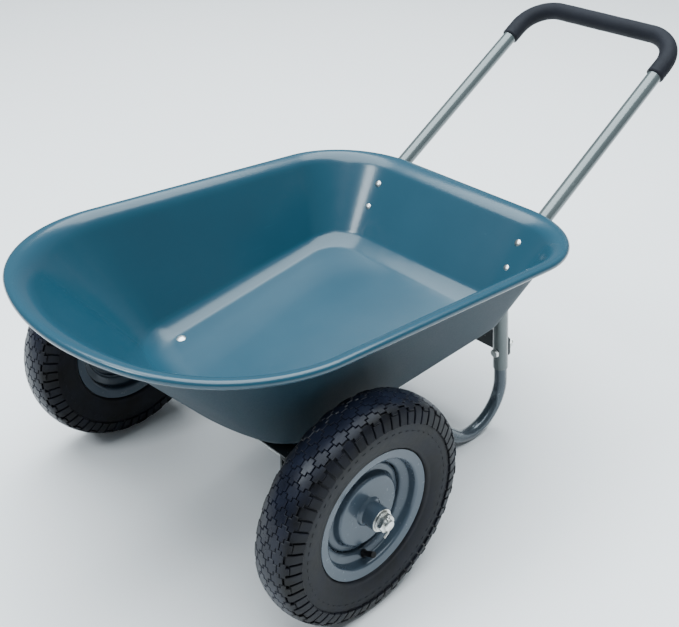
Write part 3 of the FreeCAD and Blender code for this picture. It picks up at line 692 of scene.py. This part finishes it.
# %% [markdown]
# A ring of vertices is extruded along the line. Each ring is turned to stand
# square to the tube, and each vertex keeps the number of its spoke, so that
# the noise can be read at its own turn. Both ends are then drawn in to the
# steel, where the real sleeve is cut off.

# %% Foam grip
HANDLE_RADIUS = 12.7
GRIP_SIDES = 40
GRIP_CREASE = 50


def in_frame(spot):
    """From millimetres about the axle to metres in the frame."""
    return Vector((spot.x * MM + AXLE.x, spot.y * MM, spot.z * MM))


def build_grip():
    line = grip_line()
    upward = HANDLE_BACK.cross(ACROSS).normalized()
    length = sum((here[0] - there[0]).length for here, there in zip(line, line[1:]))
    bm = bmesh.new()
    spoke = bm.verts.layers.int.new("spoke")
    first = bmesh.ops.create_circle(bm, segments=GRIP_SIDES, radius=GRIP_RADIUS * MM)["verts"]
    for index, vert in enumerate(first):
        vert[spoke] = index
    along = 0.0
    spot_before = line[0][0]
    edges = list(bm.edges)
    ring = first
    start_edges = edges
    for index, (spot, way) in enumerate(line):
        along += (spot - spot_before).length
        spot_before = spot
        if index:
            grown = bmesh.ops.extrude_edge_only(bm, edges=edges)["geom"]
            ring = [item for item in grown if isinstance(item, bmesh.types.BMVert)]
            fresh = set(ring)
            edges = [item for item in grown if isinstance(item, bmesh.types.BMEdge)
                     and item.verts[0] in fresh and item.verts[1] in fresh]
        sideways = way.cross(upward).normalized()
        for vert in ring:
            turn = 2 * math.pi * vert[spoke] / GRIP_SIDES
            radius = grip_radius(spot, turn, along, length)
            outward = sideways * math.cos(turn) + upward * math.sin(turn)
            vert.co = in_frame(spot + outward * radius)
    for loop, spot in ((start_edges, line[0][0]), (edges, line[-1][0])):
        centre = in_frame(spot)
        grown = bmesh.ops.extrude_edge_only(bm, edges=loop)["geom"]
        for item in grown:
            if isinstance(item, bmesh.types.BMVert):
                item.co = centre + (item.co - centre).normalized() * (HANDLE_RADIUS - SKIN_GAP) * MM
    bmesh.ops.recalc_face_normals(bm, faces=bm.faces)
    mark_creases(bm, GRIP_CREASE)
    return finish_piece("grip_sleeve", bm, "cart", "grip_foam", FINISH["grip_foam"], "foam_grip")


grip = build_grip()

# %% [markdown]
# The tyre is a spun casing with a moulded tread on it. Its outer skin is a
# line of arcs, from the crown over the shoulder and down the side wall, given
# as distance from the axle and offset from the wheel's middle. An arc through
# three points is the natural tool, because three points on a tyre are easy to
# measure and a centre is not.

# %% Outer skin of the tyre
TYRE_CROWN = 165.0
SHOULDER_START = (161.0, 22.5)
SHOULDER_END = (151.0, 31.8)
CROWN_STEPS = 24
TYRE_SHOULDER_STEPS = 8
SIDE_WALL_STEPS = 26


def arc_through(first, middle, last, count):
    """Points of the arc through three points, given as (radius, offset)."""
    a, b, c = (Vector(point) for point in (first, middle, last))
    turned = (b - a).cross(c - a) * 2
    ab, ac = b - a, c - a
    centre = a + Vector((ac.y * ab.length_squared - ab.y * ac.length_squared,
                         ab.x * ac.length_squared - ac.x * ab.length_squared)) / turned
    start = math.atan2(a.y - centre.y, a.x - centre.x)
    sweep = math.atan2(c.y - centre.y, c.x - centre.x) - start
    sweep = (sweep + math.pi) % (2 * math.pi) - math.pi
    radius = (a - centre).length
    return [Vector((centre.x + radius * math.cos(start + sweep * step / count),
                    centre.y + radius * math.sin(start + sweep * step / count)))
            for step in range(count + 1)]


whole_crown = arc_through((161.0, -22.5), (TYRE_CROWN, 0.0), SHOULDER_START, CROWN_STEPS)
shoulder = arc_through(SHOULDER_START, (157.2, 28.6), SHOULDER_END, TYRE_SHOULDER_STEPS)[1:]
side_wall = arc_through(SHOULDER_END, (127.0, 34.2), (97.3, 26.7), SIDE_WALL_STEPS)[1:]
SKIN = whole_crown[CROWN_STEPS // 2:] + shoulder + side_wall
LENGTHS = [0.0]
for here, there in zip(SKIN, SKIN[1:]):
    LENGTHS.append(LENGTHS[-1] + (there - here).length)
print("tyre skin", round(LENGTHS[-1], 1), "mm from crown to bead")

# %% [markdown]
# Everything on the tyre is placed by its distance along the skin, as if the
# skin were a tape laid over it. These helpers turn a distance into a point and
# an outward direction, and say how deep the grooves are there: full depth over
# the crown, less over the shoulder and none on the side wall.

# %% Places on the skin
GROOVE_DEPTH = 3.8
SHOULDER_FADE = 1.6
WALL_DEPTH = 2.2
CROWN_REACH = 24
SHOULDER_REACH = 38
FADE_LENGTH = 14


def skin_at(distance):
    """Point and outward normal of the tyre's outer skin, at a distance from the crown."""
    reach = min(abs(distance), LENGTHS[-1] - 0.001)
    index = max(i for i, length in enumerate(LENGTHS[:-1]) if length <= reach)
    here, there = SKIN[index], SKIN[index + 1]
    spot = here.lerp(there, (reach - LENGTHS[index]) / (LENGTHS[index + 1] - LENGTHS[index]))
    along = (there - here).normalized()
    side = 1 if distance >= 0 else -1
    return Vector((spot.x, spot.y * side)), Vector((along.y, -along.x * side))


def groove_at(distance):
    """How far the casing lies below the tops of the blocks."""
    reach = abs(distance)
    if reach < CROWN_REACH:
        return GROOVE_DEPTH
    if reach < SHOULDER_REACH:
        return GROOVE_DEPTH - (reach - CROWN_REACH) / FADE_LENGTH * SHOULDER_FADE
    return max(0.0, WALL_DEPTH * (1 - (reach - SHOULDER_REACH) / FADE_LENGTH))


def distance_of_radius(radius):
    """Distance along the skin to the side wall at this radius."""
    return next(length for length, spot in zip(LENGTHS, SKIN) if spot.x <= radius)


DASH_PLACE = distance_of_radius(127.0)
print("dashes lie", round(DASH_PLACE, 1), "mm from the crown")

# %% [markdown]
# The casing's profile is a closed line: the outer skin with the groove depth
# taken off, a fine raised ring near the rim, the two beads, and the inner
# face. It is spun once round and merged where it meets itself.

# %% Spin the casing
SPIN_STEPS = 180
CASING_WALL = 3.4
RING_HEIGHT = 0.7
RING_LOW, RING_HIGH = 99.0, 101.6
INNER_END = 99.0
BEAD = [(96.6, 22.6), (90.0, 21.5), (83.2, 21.0), (83.2, 15.5), (90.0, 16.5), (96.0, 20.0)]
SEAM_GAP = 0.004 * MM


def casing_profile():
    """One side of the closed profile, from crown to bead and back inside."""
    outer = []
    for length in LENGTHS:
        spot, normal = skin_at(length)
        ring = RING_HEIGHT if RING_LOW < spot.x < RING_HIGH else 0.0
        outer.append(spot - normal * (groove_at(length) - ring))
    inner = [spot - skin_at(length)[1] * (groove_at(length) + CASING_WALL)
             for length, spot in zip(LENGTHS, SKIN)]
    back = [spot for spot in inner[::-1] if spot.x > INNER_END]
    return outer + [Vector(corner) for corner in BEAD] + back


def build_casing(bm):
    half = casing_profile()
    around = half + [Vector((spot.x, -spot.y)) for spot in half[-2:0:-1]]
    verts = [bm.verts.new((spot.x * MM, spot.y * MM, 0.0)) for spot in around]
    for here, there in zip(verts, verts[1:] + verts[:1]):
        bm.edges.new((here, there))
    bmesh.ops.spin(bm, geom=list(bm.verts) + list(bm.edges), cent=(0, 0, 0), axis=(0, 1, 0),
                   angle=2 * math.pi, steps=SPIN_STEPS, use_merge=True)
    bmesh.ops.remove_doubles(bm, verts=bm.verts, dist=SEAM_GAP)


print("corners on one side of the profile", len(casing_profile()))

# %% [markdown]
# The tread is many small rubber blocks: crosses that lock into each other with
# thin grooves over the crown, ribs over the shoulders, and short dashes in a
# ring on the side wall. A block is drawn flat: a grid of three by three cells,
# its corners taken away to leave a cross, extruded upward, and its top edges
# bevelled. A rib and a dash are plain cells, made the same way. The flat block
# is x round the tyre, y along the profile and z above the casing.

# %% A flat tread block
BLOCK_BEVEL = 0.7
DASH_BEVEL = 0.3
ON_THE_BASE = 0.001


def flat_block(columns, rows, height, bevel, cross=False):
    """A block with these grid lines, in millimetres, that stands on z = 0."""
    block = bmesh.new()
    bmesh.ops.create_grid(block, x_segments=len(columns) - 1, y_segments=len(rows) - 1, size=1.0)
    block.verts.ensure_lookup_table()
    xs = sorted({round(vert.co.x, 4) for vert in block.verts})
    ys = sorted({round(vert.co.y, 4) for vert in block.verts})
    for vert in block.verts:
        vert.co.x = columns[xs.index(round(vert.co.x, 4))]
        vert.co.y = rows[ys.index(round(vert.co.y, 4))]
    if cross:
        corners = [face for face in block.faces
                   if abs(face.calc_center_median().x) > columns[2] and
                   abs(face.calc_center_median().y) > rows[2]]
        bmesh.ops.delete(block, geom=corners, context="FACES")
    grown = bmesh.ops.extrude_face_region(block, geom=list(block.faces))["geom"]
    tops = {item for item in grown if isinstance(item, bmesh.types.BMVert)}
    bmesh.ops.translate(block, verts=list(tops), vec=(0, 0, height))
    rim = [edge for edge in block.edges if edge.verts[0] in tops and edge.verts[1] in tops
           and edge.calc_face_angle(0.0) > 1.0]
    bmesh.ops.bevel(block, geom=rim, offset=bevel, affect="EDGES", segments=1, profile=0.5,
                    material=-1)
    under = [face for face in block.faces if face.calc_center_median().z < ON_THE_BASE]
    bmesh.ops.delete(block, geom=under, context="FACES")
    bmesh.ops.recalc_face_normals(block, faces=block.faces)
    top = max(block.faces, key=lambda face: face.calc_center_median().z)
    if top.normal.z < 0:
        bmesh.ops.reverse_faces(block, faces=block.faces)
    return block


BLOCKS = {
    "cross": flat_block([-11.0, -5.5, 5.5, 11.0], [-8.2, -3.85, 3.85, 8.2],
                        GROOVE_DEPTH + 1.0, BLOCK_BEVEL, True),
    "short_rib": flat_block([-7.0, 0.0, 7.0], [-8.5, -3.0, 3.0, 8.5], 3.1, BLOCK_BEVEL),
    "long_rib": flat_block([-7.0, 0.0, 7.0], [-12.0, -6.0, 0.0, 6.0, 12.0], 3.4, BLOCK_BEVEL),
    "dash": flat_block([-3.2, 0.0, 3.2], [-0.8, 0.8], 1.1, DASH_BEVEL)}
for name, block in BLOCKS.items():
    print(name, len(block.faces), "faces")

# %% [markdown]
# A flat block is then wrapped on the casing: its y becomes a distance along
# the skin, its x an angle round the axle, and its z a height along the skin's
# own outward direction. It is sunk a little, so that its open underside is
# hidden in the rubber.

# %% Wrap a block
WRAP_RADIUS = 162.0


def wrap_block(bm, block, angle, distance, foot):
    """Copy a flat block on to the tyre. foot says how deep it stands in the casing."""
    shape = block.copy()
    for vert in shape.verts:
        spot, normal = skin_at(distance + vert.co.y)
        sunk = groove_at(distance + vert.co.y) + foot
        spot = spot + normal * (vert.co.z - sunk)
        turn = angle + vert.co.x / WRAP_RADIUS
        vert.co = Vector((math.cos(turn) * spot.x, spot.y, math.sin(turn) * spot.x)) * MM
    mesh = bpy.data.meshes.new("block")
    shape.to_mesh(mesh)
    shape.free()
    bm.from_mesh(mesh)
    bpy.data.meshes.remove(mesh)


print("a cross covers", round(math.degrees(22.0 / WRAP_RADIUS), 1), "degrees of the tyre")

# %% [markdown]
# Even and odd columns differ by half a block, which is what makes the crosses
# lock. The plan says which block stands at which distance from the crown, on
# which kind of column, and it is the same on both sides of the crown.

# %% Tread pattern
TREAD_COLUMNS = 60
COLUMN_ANGLE = 2 * math.pi / TREAD_COLUMNS
FIRST_COLUMN = math.radians(57.5)
CROSS_FOOT = 1.0
RIB_FOOT = 0.6
EVEN_CROSSES = (0.0, 17.4, -17.4)
ODD_CROSSES = (8.7, -8.7, 26.1, -26.1)
LONG_RIB_PLACE = 40.0
SHORT_RIB_PLACE = 44.0


def build_tread(bm):
    for column in range(TREAD_COLUMNS):
        angle = FIRST_COLUMN + column * COLUMN_ANGLE
        even = column % 2 == 0
        rib, place = ("long_rib", LONG_RIB_PLACE) if even else ("short_rib", SHORT_RIB_PLACE)
        for distance in EVEN_CROSSES if even else ODD_CROSSES:
            wrap_block(bm, BLOCKS["cross"], angle, distance, CROSS_FOOT)
        for side in (1, -1):
            wrap_block(bm, BLOCKS[rib], angle, side * place, RIB_FOOT)
            wrap_block(bm, BLOCKS["dash"], angle, side * DASH_PLACE, RIB_FOOT)


print("columns", TREAD_COLUMNS, "at", round(math.degrees(COLUMN_ANGLE), 1), "degrees")

# %% [markdown]
# Casing and tread go into one mesh for each wheel, because they are one piece
# of rubber. The middle comes from the box of the tyre in the model, and the
# right tyre is the left one mirrored.

# %% Build the tyres
TYRE_CREASE = 38


def build_tyre(side):
    bm = bmesh.new()
    build_casing(bm)
    bmesh.ops.recalc_face_normals(bm, faces=bm.faces)
    build_tread(bm)
    low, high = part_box(side + "_tyre")
    middle = Vector((AXLE.x, (low.y + high.y) / 2, AXLE.z))
    if side == "right":
        bmesh.ops.scale(bm, vec=(1, -1, 1), verts=bm.verts)
        bmesh.ops.reverse_faces(bm, faces=bm.faces)
    bmesh.ops.translate(bm, vec=middle, verts=bm.verts)
    mark_creases(bm, TYRE_CREASE)
    return finish_piece(side + "_tyre_tread", bm, side + "_wheel", "tyre_rubber",
                        FINISH["tyre_rubber"], side + "_tyre")


for side in SIDES:
    build_tyre(side)
for block in BLOCKS.values():
    block.free()

# %% [markdown]
# The cart stands in a plain studio, on a wide pale floor. Its tone drifts a
# little, because a floor of one even grey looks like no floor at all.

# %% Studio floor
def build_floor():
    bm = bmesh.new()
    bmesh.ops.create_grid(bm, x_segments=2, y_segments=2, size=12.0)
    mesh = bpy.data.meshes.new("studio_floor")
    bm.to_mesh(mesh)
    bm.free()
    floor = bpy.data.objects.new("studio_floor", mesh)
    bpy.context.scene.collection.objects.link(floor)
    g = Graph("studio_floor")
    tone = g.mix(g.noise(1.2, detail=3.0), (0.86, 0.86, 0.86, 1.0), (0.90, 0.90, 0.90, 1.0))
    floor.data.materials.append(g.finish(Base_Color=tone, Roughness=g.noise(40.0) * 0.1 + 0.6))


build_floor()

# %% [markdown]
# A very wide lamp overhead gives the soft light of a cloudy day. A small one
# high in front of the nose adds an edge along the tubes. The world fills the
# shadows with a faint cool light. All three are slightly blue.

# %% Lights and world
LAMP_COLOUR = (0.86, 0.95, 1.0)
SKY_COLOUR = (0.84, 0.93, 1.0, 1.0)
SKY_STRENGTH = 0.32


def soft_light(name, place, aim, size, watts):
    data = bpy.data.lights.new(name, "AREA")
    data.shape = "RECTANGLE"
    data.size, data.size_y = size
    data.energy = watts
    data.color = LAMP_COLOUR
    lamp = bpy.data.objects.new(name, data)
    bpy.context.scene.collection.objects.link(lamp)
    lamp.location = place
    lamp.rotation_euler = (Vector(aim) - Vector(place)).to_track_quat("-Z", "Y").to_euler()
    print("lamp", name, watts, "W")


world = bpy.data.worlds.new("studio")
bpy.context.scene.world = world
world.use_nodes = True
sky = world.node_tree.nodes["Background"].inputs
sky["Color"].default_value = SKY_COLOUR
sky["Strength"].default_value = SKY_STRENGTH
soft_light("overhead", (-0.4, -0.3, 3.6), (-0.4, -0.3, 0.0), (5.0, 4.6), 560.0)
soft_light("front", (2.6, -0.6, 2.6), (0.0, 0.0, 0.3), (0.9, 0.9), 60.0)

# %% [markdown]
# The camera looks down from the front left, over the near wheel, with a normal
# to slightly long lens. Its axes are given directly, so that the small roll is
# kept.

# %% Camera
RIGHT = Vector((-0.70926063, 0.70473276, 0.01735224))
UP = Vector((-0.31726231, -0.34108848, 0.88487472))
BACK = Vector((0.62951885, 0.62210159, 0.46550577))
STAND = (1.0934, 1.0367, 1.1133)
camera_data = bpy.data.cameras.new("camera")
camera_data.sensor_width = 36.0
camera_data.lens = 56.11
camera_data.shift_x = -0.0328
camera_data.shift_y = -0.0924
camera = bpy.data.objects.new("camera", camera_data)
bpy.context.scene.collection.objects.link(camera)
turned = Matrix((RIGHT, UP, BACK)).transposed().to_4x4()
camera.matrix_world = Matrix.Translation(STAND) @ turned
bpy.context.scene.camera = camera
print("camera", camera_data.lens, "mm at", STAND)

# %% [markdown]
# The last cell counts the pieces that were made.

# %% Count the pieces
print("pieces", len(made))
